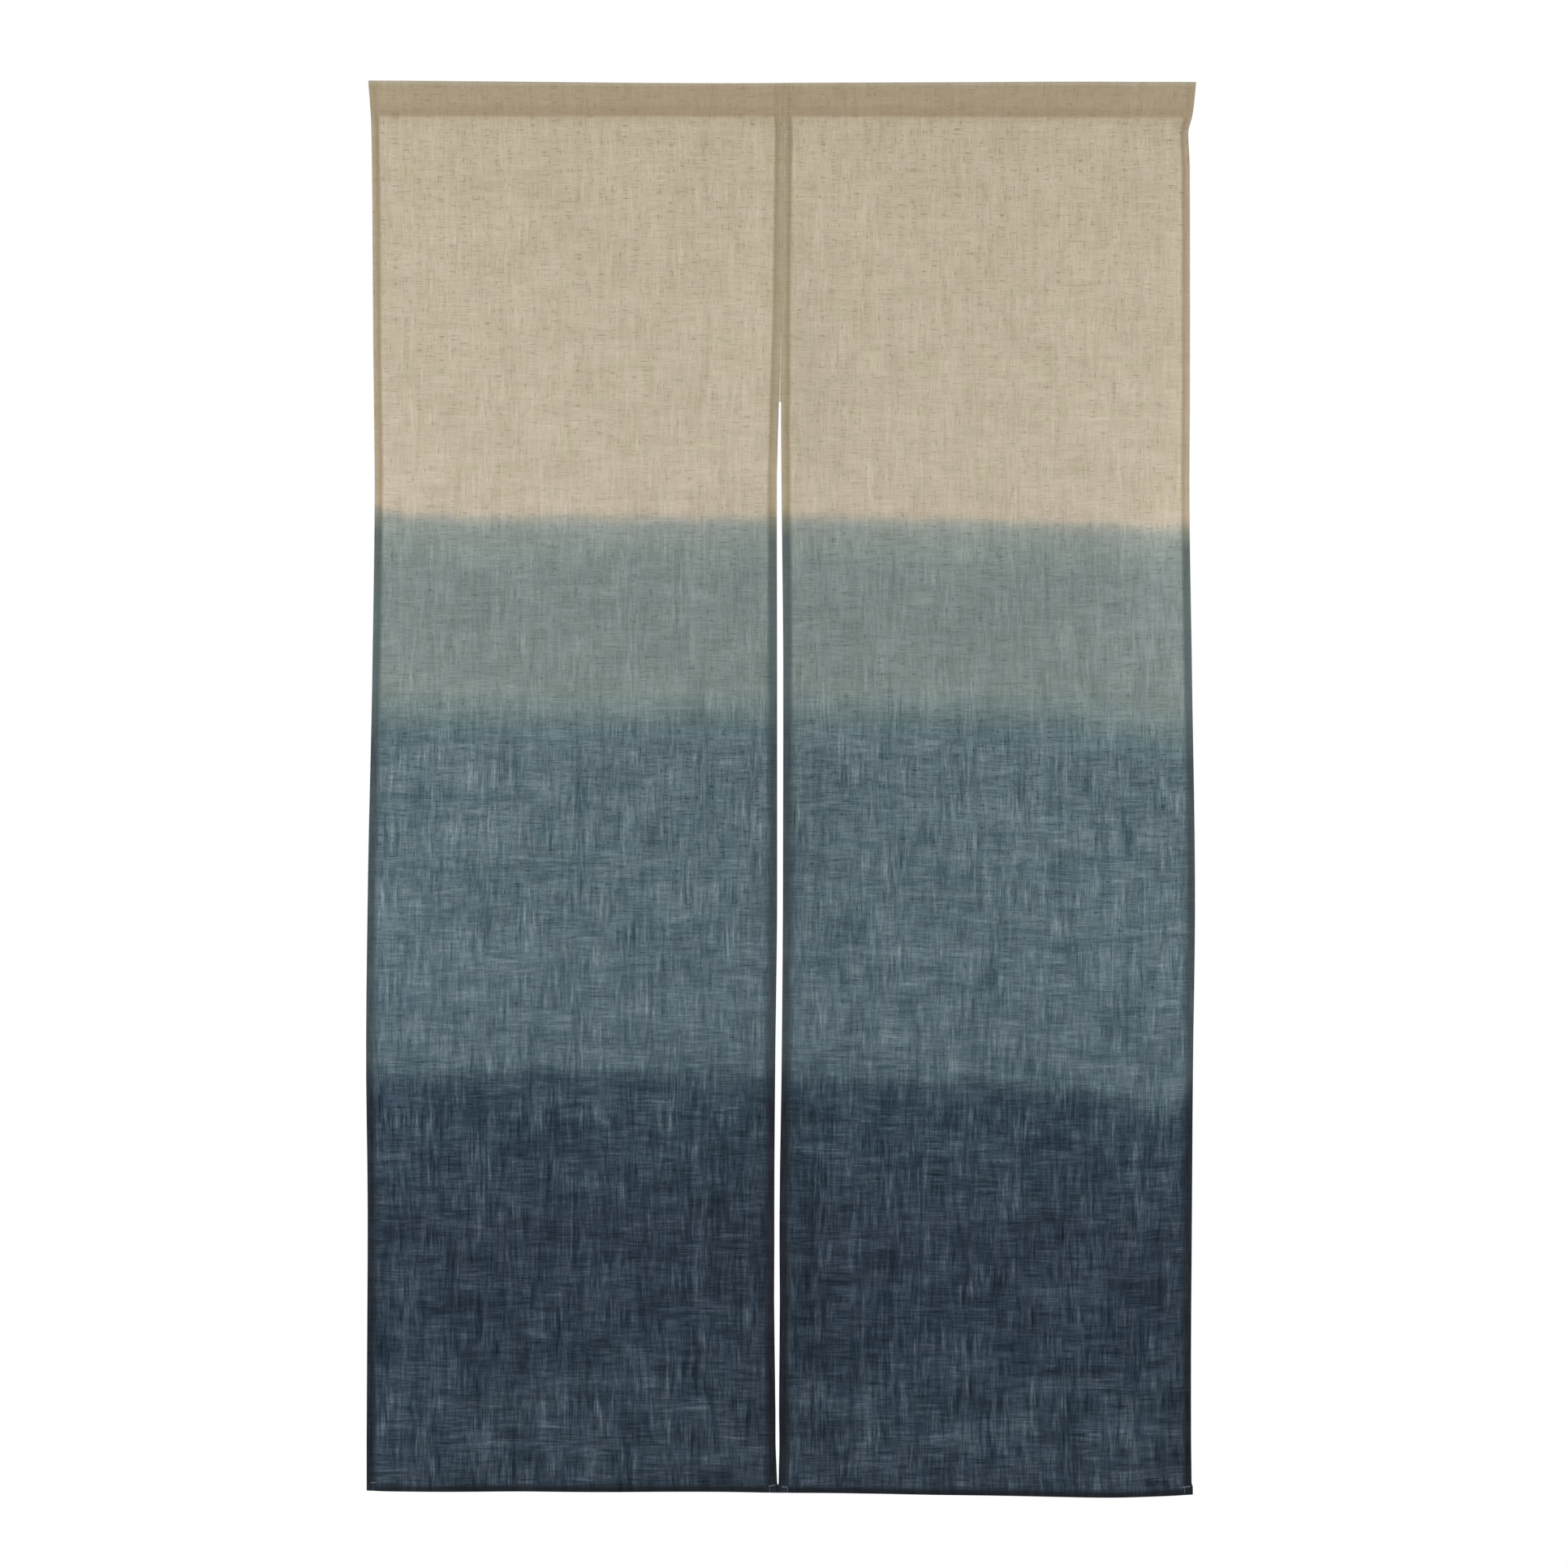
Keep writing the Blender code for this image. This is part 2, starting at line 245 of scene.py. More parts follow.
# Broad areas where the cloth took the dye unevenly, and painted light and shade of its folds and
# of light falling unevenly across it:
# centre and half sizes in mm, and how much lighter or darker than the rest of its band
DyeAndShadePatch = namedtuple("DyeAndShadePatch", "x drop half_width half_height lighter")
DYE_AND_SHADE_PATCHES = [
    DyeAndShadePatch(425, 540, 120, 260, 0.13),
    DyeAndShadePatch(440, 260, 70, 260, 0.07),
    DyeAndShadePatch(335, 250, 60, 200, 0.03),
    DyeAndShadePatch(25, 330, 60, 220, -0.06),
    DyeAndShadePatch(-30, 270, 45, 170, 0.05),
    # Painted shadow below the right end of the pocket
    DyeAndShadePatch(424, 46, 15, 12, -0.14),
    DyeAndShadePatch(340, 900, 120, 300, 0.05),
    DyeAndShadePatch(440, 1420, 90, 260, -0.13),
    DyeAndShadePatch(5, 1360, 130, 420, -0.13),
    DyeAndShadePatch(10, 800, 110, 330, -0.08),
    DyeAndShadePatch(-30, 1300, 130, 400, -0.05),
    DyeAndShadePatch(-430, 900, 150, 420, 0.08),
    DyeAndShadePatch(-430, 1400, 150, 260, 0.07),
    DyeAndShadePatch(200, 1330, 110, 200, 0.06),
]

# How dense the cloth looks, from 0 for a single layer to 1 for folded layers, and past these
# where it is lighter or darker still: at distances in mm from the outer edge of a side hem,
# in its natural, sage and deeper bands, and from the foot.  The darkening is painted shade
# where folded layers let less light through; past the hem's width it is painted light and
# shade beside the hem, darker in the deeper bands and a little lighter in the natural and sage
# bands
HemShade = namedtuple("HemShade", "inset pale sage deep foot")
HEM_SHADES = [
    HemShade(0.0, 0.62, 1.10, 1.10, 1.30),
    HemShade(1.2, 0.58, 1.12, 1.14, 1.30),
    HemShade(2.9, 0.70, 1.14, 1.14, 1.25),
    HemShade(4.2, 0.90, 1.18, 1.14, 1.20),
    HemShade(5.6, 1.06, 1.18, 1.14, 1.05),
    HemShade(6.4, 1.16, 1.14, 1.02, 0.55),
    HemShade(7.2, 1.14, 1.00, 0.86, 0.45),
    HemShade(8.1, 0.85, 0.84, 0.72, 0.40),
    HemShade(9.0, 0.45, 0.50, 0.62, 0.15),
    HemShade(9.8, 0.12, 0.10, 0.45, -0.05),
    HemShade(10.7, -0.06, -0.10, 0.28, 0.0),
    HemShade(12.0, -0.04, -0.05, 0.12, 0.0),
    HemShade(13.3, 0.0, 0.0, -0.02, 0.0),
    HemShade(15.0, 0.0, 0.0, -0.02, 0.0),
    HemShade(18.0, 0.0, 0.0, 0.0, 0.0),
]
PALE_TO_SAGE = (445.0, 485.0)   # mm from the top
SAGE_TO_DEEP = (600.0, 700.0)
# The same at distances below the line of stitches under the pocket; the rows below that line are
# a painted shadow under the pocket
PocketShade = namedtuple("PocketShade", "below share")
POCKET_SHADES = [
    PocketShade(-10.4, 0.80),
    PocketShade(-9.4, 1.0),
    PocketShade(-0.8, 1.03),
    PocketShade(0.0, 0.80),
    PocketShade(0.9, 0.50),
    PocketShade(1.8, 0.26),
    PocketShade(3.0, 0.20),
    PocketShade(7.2, 0.13),
    PocketShade(13.0, 0.02),
    PocketShade(16.0, 0.0),
]
# What one unit of unevenness leaves of the cloth's red, green and blue.  It grows with the
# depth of the dye, and from the slate band down it takes more of the red.
YarnShade = namedtuple("YarnShade", "drop red green blue")
YARN_SHADES = [
    YarnShade(455, 0.959, 0.957, 0.947),
    YarnShade(500, 0.926, 0.932, 0.930),
    YarnShade(650, 0.926, 0.932, 0.930),
    YarnShade(720, 0.816, 0.846, 0.860),
    YarnShade(1040, 0.816, 0.846, 0.860),
    YarnShade(1100, 0.714, 0.752, 0.783),
]

# What one unit of the slow drift in hue leaves of red, green and blue
HUE_SHADES = [
    YarnShade(455, 0.995, 1.0, 0.985),
    YarnShade(500, 0.994, 1.0, 0.985),
    YarnShade(660, 0.994, 1.0, 0.985),
    YarnShade(720, 0.975, 1.0, 1.006),
    YarnShade(1040, 0.975, 1.0, 1.006),
    YarnShade(1100, 0.968, 1.0, 1.008),
]

# ---------------------------------------------------------------- yarn
YARN_PITCH = 0.65            # mm from one yarn to the next
# Marks of thick and thin yarns: size across and down the cloth in mm, and their weight
YarnMark = namedtuple("YarnMark", "across along weight")
WARP_MARKS = [
    YarnMark(0.9, 24, 0.40),
    YarnMark(1.5, 18, 0.34),
    YarnMark(2.8, 30, 0.44),
    YarnMark(6.0, 50, 0.44),
    YarnMark(13, 85, 0.30),
    YarnMark(26, 140, 0.16),
]
WEFT_MARKS = [
    YarnMark(26, 0.9, 0.38),
    YarnMark(20, 1.5, 0.26),
    YarnMark(28, 2.8, 0.25),
    YarnMark(42, 6.0, 0.27),
    YarnMark(80, 13, 0.27),
    YarnMark(140, 26, 0.15),
]
PATCHES = [
    YarnMark(1.9, 1.9, 0.22),
    YarnMark(4.2, 4.2, 0.20),
    YarnMark(9.0, 9.0, 0.10),
    YarnMark(20, 20, 0.12),
    YarnMark(48, 48, 0.25),
]
# Dark slubs: size across and down in mm, place in the noise, and the height above which the
# noise shows as one
Slub = namedtuple("Slub", "across along offset level")
LUMPS = [Slub(12.0, 1.2, 91.1, 1.35), Slub(1.2, 10.0, 97.7, 1.45)]
LUMP_WEIGHT = (-8.5, 8.2)    # change from top to foot, and the weight at the top
THICK_YARNS = [Slub(1.4, 24.0, 53.3, 0.95), Slub(28.0, 1.4, 61.9, 1.15)]
THICK_YARN_WEIGHT = 2.0      # at the foot, from nothing at the top
HEM_CALM = 0.45              # share by which folded layers even out the yarns
LUMP_RELIEF = 1.2
WEAVE_HEIGHT = 0.10 * MM
# Share by which the colour is lightened on the crowns of the yarns: a painted highlight
PAINTED_WEAVE_GLINT = 0.05
ROUGHNESS = 0.86
UNEVEN_ROUGHNESS = 0.03
SEEN_THROUGH = 0.22          # share of the light that passes through the cloth

# ---------------------------------------------------------------- light and camera
VIEW_WIDTH = 1.674           # metres of the curtain's plane that the camera takes in
VIEW_CENTRE = Vector((0.0030, 0.0, -0.7493))
CAMERA_DISTANCE = 8.0
SENSOR = 36.0
ROOM_LIGHT = 0.42            # strength of the even light from all round
SOFTBOX_POWER = {"left": 46.0, "right": 38.0}
SOFTBOX_AT = (2.0, -1.35, -0.65)
SOFTBOX_SIZE = (0.9, 2.2)
TOP_LIGHT_POWER = 14.0
TOP_LIGHT_AT = (0.0, -0.1, 1.2)
TOP_LIGHT_SIZE = (1.4, 0.5)
FLOOR_LEVEL = -1.95
FLOOR_RADIUS = 2.4


def make_camera():
    data = bpy.data.cameras.new("camera")
    data.sensor_width = SENSOR
    data.lens = SENSOR * CAMERA_DISTANCE / VIEW_WIDTH
    camera = link("camera", data)
    camera.location = VIEW_CENTRE - Vector((0, CAMERA_DISTANCE, 0))
    camera.rotation_euler = (math.radians(90), 0, 0)
    bpy.context.scene.camera = camera


def link(name, data):
    thing = bpy.data.objects.new(name, data)
    bpy.context.scene.collection.objects.link(thing)
    return thing


# ---------------------------------------------------------------- node helpers
class Nodes:
    """A material's node tree, with short ways to add and join its nodes."""

    def __init__(self, name):
        self.material = bpy.data.materials.new(name)
        self.material.use_nodes = True
        self.tree = self.material.node_tree
        self.tree.nodes.clear()

    def put(self, socket, value):
        if isinstance(value, bpy.types.NodeSocket):
            self.tree.links.new(value, socket)
        else:
            socket.default_value = value

    def add(self, kind, **inputs):
        node = self.tree.nodes.new(kind)
        for name, value in inputs.items():
            self.put(node.inputs[name.replace("_", " ")], value)
        return node

    def math(self, operation, first, second=0.0, third=0.0, clamp=False):
        node = self.tree.nodes.new("ShaderNodeMath")
        node.operation = operation
        node.use_clamp = clamp
        for socket, value in zip(node.inputs, (first, second, third)):
            self.put(socket, value)
        return node.outputs[0]

    def attribute(self, name, output="Fac"):
        node = self.tree.nodes.new("ShaderNodeAttribute")
        node.attribute_name = name
        return node.outputs[output]

    def stretched(self, vector, across, along, offset=0.0):
        """Cloth coordinates divided by the size of a mark across and along the cloth."""
        node = self.tree.nodes.new("ShaderNodeMapping")
        self.put(node.inputs["Vector"], vector)
        node.inputs["Scale"].default_value = (1 / across, 1 / along, 1.0)
        node.inputs["Location"].default_value = (offset, offset * 0.37, offset * 0.11)
        return node.outputs[0]

    def noise(self, vector, detail=0.0, roughness=0.5):
        """Soft noise about zero, about one strong."""
        node = self.add("ShaderNodeTexNoise", Vector=vector, Scale=1.0, Detail=detail,
                        Roughness=roughness)
        node.noise_dimensions = "2D"
        centred = self.math("SUBTRACT", node.outputs[0], 0.5)
        return self.math("MULTIPLY", centred, 6.0)

    def ramp(self, rows, value, colour_of):
        """A colour or grey that follows a table of drops."""
        node = self.tree.nodes.new("ShaderNodeValToRGB")
        self.put(node.inputs[0], value)
        stops = node.color_ramp.elements
        while len(stops) < len(rows):
            stops.new(0.5)
        for stop, row in zip(stops, rows):
            stop.position = row.drop / DYE_FOOT
        for stop, row in zip(stops, rows):
            stop.color = (*colour_of(row), 1.0)
        return node.outputs[0]

    def mix(self, blend, factor, first, second):
        node = self.tree.nodes.new("ShaderNodeMix")
        node.data_type = "RGBA"
        node.blend_type = blend
        node.clamp_factor = False
        for index, value in ((0, factor), (6, first), (7, second)):
            self.put(node.inputs[index], value)
        return node.outputs[2]


def linear(display):
    share = display / 255
    return share / 12.92 if share <= 0.04045 else ((share + 0.055) / 1.055) ** 2.4


def dye_colour(row):
    return [linear(value) for value in (row.red, row.green, row.blue)]


def shade_left(row):
    return [row.red, row.green, row.blue]


# ---------------------------------------------------------------- materials
def weighted(nodes, cloth, marks, seed):
    """Sum of soft noises of the given sizes and weights."""
    total = 0.0
    for index, mark in enumerate(marks):
        vector = nodes.stretched(cloth, mark.across, mark.along, seed + 7.3 * index)
        total = nodes.math("MULTIPLY_ADD", nodes.noise(vector), mark.weight, total)
    return total


def yarn_unevenness(nodes, cloth):
    """How much the weave's thick and thin yarns darken the cloth, about one strong.

    Warp streaks run down the cloth and weft streaks across it, over patches of denser and
    looser weave.  Where one set shows strongly the other is weak."""
    warp = weighted(nodes, cloth, WARP_MARKS, 3.1)
    weft = weighted(nodes, cloth, WEFT_MARKS, 41.7)
    patches = weighted(nodes, cloth, PATCHES, 83.9)
    lead = nodes.noise(nodes.stretched(cloth, 26.0, 34.0, 19.3))
    warp_share = nodes.math("MULTIPLY_ADD", lead, 0.35, 1.0)
    weft_share = nodes.math("MULTIPLY_ADD", lead, -0.35, 1.0)
    total = nodes.math("MULTIPLY_ADD", warp, warp_share, patches)
    return nodes.math("MULTIPLY_ADD", weft, weft_share, total)


def slubs(nodes, cloth, slub):
    """Dark lumps where a yarn is thick, from 0 to 1."""
    field = nodes.noise(nodes.stretched(cloth, slub.across, slub.along, slub.offset))
    return nodes.math("MULTIPLY", nodes.math("SUBTRACT", field, slub.level), 1.5, clamp=True)


def weave_height(nodes, cloth):
    """Plain weave: yarns that pass over and under each other, a little irregular."""
    wobble = nodes.noise(nodes.stretched(cloth, 9.0, 9.0, 5.5), 1.0)
    split = nodes.add("ShaderNodeSeparateXYZ", Vector=cloth)
    across = nodes.math("MULTIPLY_ADD", wobble, 0.18, split.outputs[0])
    down = nodes.math("MULTIPLY_ADD", wobble, -0.18, split.outputs[1])
    warp = nodes.math("SINE", nodes.math("MULTIPLY", across, math.pi / YARN_PITCH))
    weft = nodes.math("SINE", nodes.math("MULTIPLY", down, math.pi / YARN_PITCH))
    return nodes.math("MULTIPLY", warp, weft)


def wicked(nodes, cloth, dye):
    """Level of dye, from 0 at the top to 1 at the foot, uneven where it has crept up the
    yarns.  The turned-over top is left as it is."""
    wick = nodes.noise(nodes.stretched(cloth, 1.8, 9.0, 71.3), 1.0, 0.7)
    creep = nodes.noise(nodes.stretched(cloth, 38.0, 30.0, 83.9), 1.0, 0.6)
    shift = nodes.math("MULTIPLY_ADD", creep, 1.3, wick)
    below_top = nodes.math("MULTIPLY", nodes.math("SUBTRACT", dye, 60.0), 0.02, clamp=True)
    shifted = nodes.math("MULTIPLY_ADD", shift, below_top, dye)
    return nodes.math("DIVIDE", shifted, DYE_FOOT, clamp=True)


def linen_material():
    nodes = Nodes("dip_dyed_linen")
    cloth = nodes.attribute("cloth", "Vector")
    layers_and_shade = nodes.attribute("plies_and_shade")
    level = wicked(nodes, cloth, nodes.attribute("dye"))

    single = nodes.ramp(SINGLE_LAYER, level, dye_colour)
    folded = nodes.ramp(FOLDED_LAYERS_SHADED, level, dye_colour)
    # Painted shade: the darker folded colour is mixed in where the layers let less light
    # through, and in soft bands beside the hems and under the pocket
    colour = nodes.mix("MIX", layers_and_shade, single, folded)

    uneven = yarn_unevenness(nodes, cloth)
    lumps = nodes.math("ADD", *(slubs(nodes, cloth, slub) for slub in LUMPS))
    lump_weight = nodes.math("MULTIPLY_ADD", level, *LUMP_WEIGHT)
    darker = nodes.math("MULTIPLY_ADD", lumps, lump_weight, uneven)
    thick_yarns = nodes.math("ADD", *(slubs(nodes, cloth, slub) for slub in THICK_YARNS))
    yarn_weight = nodes.math("MULTIPLY", level, THICK_YARN_WEIGHT)
    darker = nodes.math("MULTIPLY_ADD", thick_yarns, yarn_weight, darker)
    calm = nodes.math("MULTIPLY_ADD", layers_and_shade, -HEM_CALM, 1.0)
    darker = nodes.math("MULTIPLY", darker, calm)
    shade = nodes.add("ShaderNodeGamma", Gamma=darker,
                      Color=nodes.ramp(YARN_SHADES, level, shade_left))
    colour = nodes.mix("MULTIPLY", 1.0, colour, shade.outputs[0])
    ageing = nodes.noise(nodes.stretched(cloth, 21.0, 27.0, 29.9), 1.0)
    tint = nodes.add("ShaderNodeGamma", Gamma=ageing,
                     Color=nodes.ramp(HUE_SHADES, level, shade_left))
    colour = nodes.mix("MULTIPLY", 1.0, colour, tint.outputs[0])
    height = weave_height(nodes, cloth)
    # Painted highlight: the colour is made lighter where the weave's yarns stand highest, then
    # scaled by the broad uneven dye and the painted light and shade
    painted_glint_and_tone = nodes.math("MULTIPLY_ADD", height, PAINTED_WEAVE_GLINT, 1.0)
    painted_glint_and_tone = nodes.math("MULTIPLY", painted_glint_and_tone, nodes.attribute("tone"))
    colour = nodes.mix("MULTIPLY", 1.0, colour, painted_glint_and_tone)

    raised = nodes.math("MULTIPLY_ADD", lumps, LUMP_RELIEF, height)
    bump = nodes.add("ShaderNodeBump", Strength=0.5, Distance=WEAVE_HEIGHT, Height=raised)
    rough = nodes.math("MULTIPLY_ADD", uneven, UNEVEN_ROUGHNESS, ROUGHNESS)

    front = nodes.add("ShaderNodeBsdfPrincipled", Base_Color=colour, Roughness=rough,
                      Normal=bump.outputs[0])
    front.inputs["Specular IOR Level"].default_value = 0.18
    front.inputs["Sheen Weight"].default_value = 0.03
    front.inputs["Sheen Roughness"].default_value = 0.5
    through = nodes.add("ShaderNodeBsdfTranslucent", Color=colour)
    both = nodes.add("ShaderNodeMixShader", Fac=SEEN_THROUGH)
    nodes.put(both.inputs[1], front.outputs[0])
    nodes.put(both.inputs[2], through.outputs[0])
    nodes.add("ShaderNodeOutputMaterial", Surface=both.outputs[0])
    return nodes.material


def finish_thread(nodes, look, colour):
    """Shades and raises a thread by its twist, and returns its material."""
    cloth = nodes.attribute("cloth", "Vector")
    twist = nodes.noise(nodes.stretched(cloth, look.twist, look.twist), 1.0)
    shade = nodes.math("MULTIPLY_ADD", twist, look.shading, look.brightness)
    colour = nodes.mix("MULTIPLY", 1.0, colour, shade)
    bump = nodes.add("ShaderNodeBump", Strength=look.strength, Distance=look.height,
                     Height=twist)
    shader = nodes.add("ShaderNodeBsdfPrincipled", Base_Color=colour, Roughness=look.rough,
                       Normal=bump.outputs[0])
    nodes.add("ShaderNodeOutputMaterial", Surface=shader.outputs[0])
    return nodes.material


def thread_material():
    """Sewing thread, dyed with the cloth and a little darker than its hems."""
    nodes = Nodes("dyed_thread")
    level = nodes.math("DIVIDE", nodes.attribute("dye"), DYE_FOOT, clamp=True)
    return finish_thread(nodes, DYED_THREAD, nodes.ramp(FOLDED_LAYERS_SHADED, level, dye_colour))


def tack_material():
    """The paler thread of the tacks at the foot."""
    return finish_thread(Nodes("pale_thread"), PALE_THREAD, (*dye_colour(TACK_DYE), 1.0))


# ---------------------------------------------------------------- reading the CAD model
def smoothed(values, sigma, axis=0):
    """Gaussian smoothing along one axis, with the ends carried on in a straight line."""
    values = np.moveaxis(np.asarray(values, float), axis, 0)
    reach = max(1, int(math.ceil(3 * sigma)))
    weights = np.exp(-0.5 * (np.arange(-reach, reach + 1) / sigma) ** 2)
    weights /= weights.sum()
    before = 2 * values[:1] - values[reach:0:-1]
    after = 2 * values[-1:] - values[-2:-reach - 2:-1]
    padded = np.concatenate([before, values, after])
    out = sum(w * padded[i:i + len(values)] for i, w in enumerate(weights))
    return np.moveaxis(out, 0, axis)


def extent(node, fixed, measured, stations):
    """Lowest and highest place along one axis where a node crosses each station of another."""
    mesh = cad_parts[node].data
    points = np.zeros(len(mesh.vertices) * 3)
    mesh.vertices.foreach_get("co", points)
    points = points.reshape(-1, 3)
    ends = np.zeros(len(mesh.edges) * 2, int)
    mesh.edges.foreach_get("vertices", ends)
    a, b = points[ends.reshape(-1, 2)].transpose(1, 0, 2)
    low, high = [], []
    for station in stations:
        below, above = a[:, fixed] - station, b[:, fixed] - station
        cut = (below * above <= 0) & (below != above)
        along = below[cut] / (below[cut] - above[cut])
        places = a[cut, measured] + (b[cut, measured] - a[cut, measured]) * along
        low.append(places.min())
        high.append(places.max())
    return np.array(low), np.array(high)


class Panel:
    """Outline and hang of one panel, read from its CAD nodes."""

    def __init__(self, side):
        self.side = side
        self.hems = (OUTER_HEM, SLIT_HEM) if side == "left" else (SLIT_HEM, OUTER_HEM)
        # Which of the two sides is at the seam, and which way along X it faces
        self.inner, self.inwards = (1, 1) if side == "left" else (0, -1)
        self.panel = "panel_" + side
        self.pocket = "pocket_" + side
        self.read_outline()
        self.read_ends()
        self.read_face()

    def read_outline(self):
        low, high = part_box(self.pocket)
        pocket_foot = extent(self.pocket, 0, 2, [low.x + 30 * MM, high.x - 30 * MM])[0]
        pocket_drops = np.linspace(4 * MM, -pocket_foot.max() - 1 * MM, 9)
        panel_drops = np.arange(-pocket_foot.min() + 2 * MM, 1.5, 4 * MM)
        left, right = extent(self.pocket, 2, 0, -pocket_drops)
        left_below, right_below = extent(self.panel, 2, 0, -panel_drops)
        drops = np.concatenate([pocket_drops, panel_drops])
        fine = np.arange(*SIDE_DROPS) * MM
        self.edge_drops = fine
        edges = []
        for above, below in ((left, left_below), (right, right_below)):
            places = np.concatenate([above, below])
            start = (places[1] - places[0]) / (drops[1] - drops[0])
            end = (places[-1] - places[-9]) / (drops[-1] - drops[-9])
            line = np.interp(fine, drops, places)
            line = np.where(fine < drops[0], places[0] + start * (fine - drops[0]), line)
            line = np.where(fine > drops[-1], places[-1] + end * (fine - drops[-1]), line)
            edges.append(smoothed(line, SIDE_SMOOTHING))
        self.edges = edges
        self.close_seam()
        self.hang_slit()

    def hang_slit(self):
        """Moves the inner edge to the slit's own width as it hangs."""
        drops = [trim.drop * MM for trim in SLIT_TRIMS]
        wider = np.interp(self.edge_drops, drops, [trim.wider * MM for trim in SLIT_TRIMS])
        self.edges[self.inner] = self.edges[self.inner] - self.inwards * wider / 2

    def close_seam(self):
        """Brings the inner edge to the middle of the seam where the panels are joined."""
        fade = np.clip((SEAM_FOOT - self.edge_drops) / SEAM_FADE, 0, 1)
        reach = self.inwards * (SEAM_GAP + SEAM_LAP) * fade
        self.edges[self.inner] = self.edges[self.inner] + reach

    def read_ends(self):
        low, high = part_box(self.panel)
        stations = np.arange(low.x + 12 * MM, high.x - 11 * MM, 8 * MM)
        self.end_stations = stations
        lower, upper = extent(self.pocket, 0, 2, stations)
        self.top = smoothed(upper, TOP_SMOOTHING)
        self.stitch = smoothed(lower, TOP_SMOOTHING)
        self.foot = smoothed(extent(self.panel, 0, 2, stations)[0], FOOT_SMOOTHING)

    def along(self, line, x):
        """A top, stitch or foot line at x, carried on straight past its last stations."""
        stations = self.end_stations
        inside = np.interp(x, stations, line)
        before = line[0] + (line[1] - line[0]) * (x - stations[0]) / (stations[1] - stations[0])
        after = line[-1] + (line[-1] - line[-2]) * (x - stations[-1]) / (
            stations[-1] - stations[-2])
        return np.where(x < stations[0], before, np.where(x > stations[-1], after, inside))

    def top_drop(self, x):
        return -self.along(self.top, x)

    def stitch_drop(self, x):
        return -self.along(self.stitch, x)

    def foot_drop(self, x):
        return -self.along(self.foot, x)

    def bulge(self):
        """How far the pocket's walls stand from its middle."""
        low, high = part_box(self.pocket)
        return (high.y - low.y) / 2 - FACE_LIFT

    def edge(self, which, drop):
        return np.interp(drop, self.edge_drops, self.edges[which])

    def hem_inset(self, x, drop):
        """Distance in from the nearer side, as it would be on a hem of the outer width."""
        from_left = (x - self.edge(0, drop)) * OUTER_HEM / self.hems[0]
        from_right = (self.edge(1, drop) - x) * OUTER_HEM / self.hems[1]
        return np.minimum(from_left, from_right)

    def read_face(self):
        """Depth of the cloth's face on a grid of shares across and drops down."""
        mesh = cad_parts[self.panel].data
        tree = BVHTree.FromPolygons([v.co for v in mesh.vertices],
                                    [tuple(p.vertices) for p in mesh.polygons])
        self.shares = np.linspace(0, 1, FACE_SHARES)
        self.face_drops = np.arange(*FACE_DROPS) * MM
        depth = np.zeros((len(self.face_drops), len(self.shares)))
        for r, drop in enumerate(self.face_drops):
            left, right = (float(self.edge(which, drop)) for which in (0, 1))
            for c, share in enumerate(self.shares):
                share = min(max(share, FACE_MARGIN), 1 - FACE_MARGIN)
                x = left + (right - left) * share
                hit = tree.ray_cast(Vector((x, -1.0, -drop)), Vector((0, 1, 0)))[0]
                depth[r, c] = hit.y if hit is not None else math.nan
        gaps = np.isnan(depth)
        depth[gaps] = np.interp(np.flatnonzero(gaps), np.flatnonzero(~gaps), depth[~gaps])
        down, across = FACE_SMOOTHING
        self.depth = smoothed(smoothed(depth, down, axis=0), across, axis=1)

    def face(self, x, drop):
        """Depth (y) of the cloth's face, before the relief of its sewing."""
        left, right = self.edge(0, drop), self.edge(1, drop)
        share = np.clip((x - left) / (right - left), 0, 1) * (len(self.shares) - 1)
        level = (drop - self.face_drops[0]) / (self.face_drops[1] - self.face_drops[0])
        level = np.clip(level, 0, len(self.face_drops) - 1)
        c = np.minimum(share.astype(int), len(self.shares) - 2)
        r = np.minimum(level.astype(int), len(self.face_drops) - 2)
        s, t = share - c, level - r
        upper = self.depth[r, c] * (1 - s) + self.depth[r, c + 1] * s
        lower = self.depth[r + 1, c] * (1 - s) + self.depth[r + 1, c + 1] * s
        return upper * (1 - t) + lower * t - FACE_LIFT


def swell_foot_hems(panels):
    """Brings the two inner edges together where the foot hems swell until they touch, and
    lets the hem stand out at the right."""
    left, right = panels["left"], panels["right"]
    middle = (left.edges[1] + right.edges[0]) / 2
    share = ease((left.edge_drops - SLIT_MEETS) / SLIT_CLOSES)
    left.edges[1] = left.edges[1] * (1 - share) + (middle + FOOT_LAP) * share
    right.edges[0] = right.edges[0] * (1 - share) + (middle - FOOT_LAP) * share
    right.edges[1] = right.edges[1] + FOOT_FLARE * share


# ---------------------------------------------------------------- cloth
def ease(t):
    t = np.clip(t, 0, 1)
    return t * t * (3 - 2 * t)


def between(value, ends):
    """How far a value has come from the first of two ends to the second, from 0 to 1."""
    return ease((value - ends[0]) / (ends[1] - ends[0]))


def soft_noise(u, v, seed):
    """Smooth noise about zero over a unit grid, the same each run."""
    rng = np.random.default_rng(seed)
    size = 256
    grid = rng.uniform(-1, 1, (size, size))
    i, j = np.floor(u).astype(int), np.floor(v).astype(int)
    s, t = ease(u - i), ease(v - j)
    i, j = i % size, j % size
    k, m = (i + 1) % size, (j + 1) % size
    first = grid[i, j] * (1 - s) + grid[k, j] * s
    second = grid[i, m] * (1 - s) + grid[k, m] * s
    return first * (1 - t) + second * t


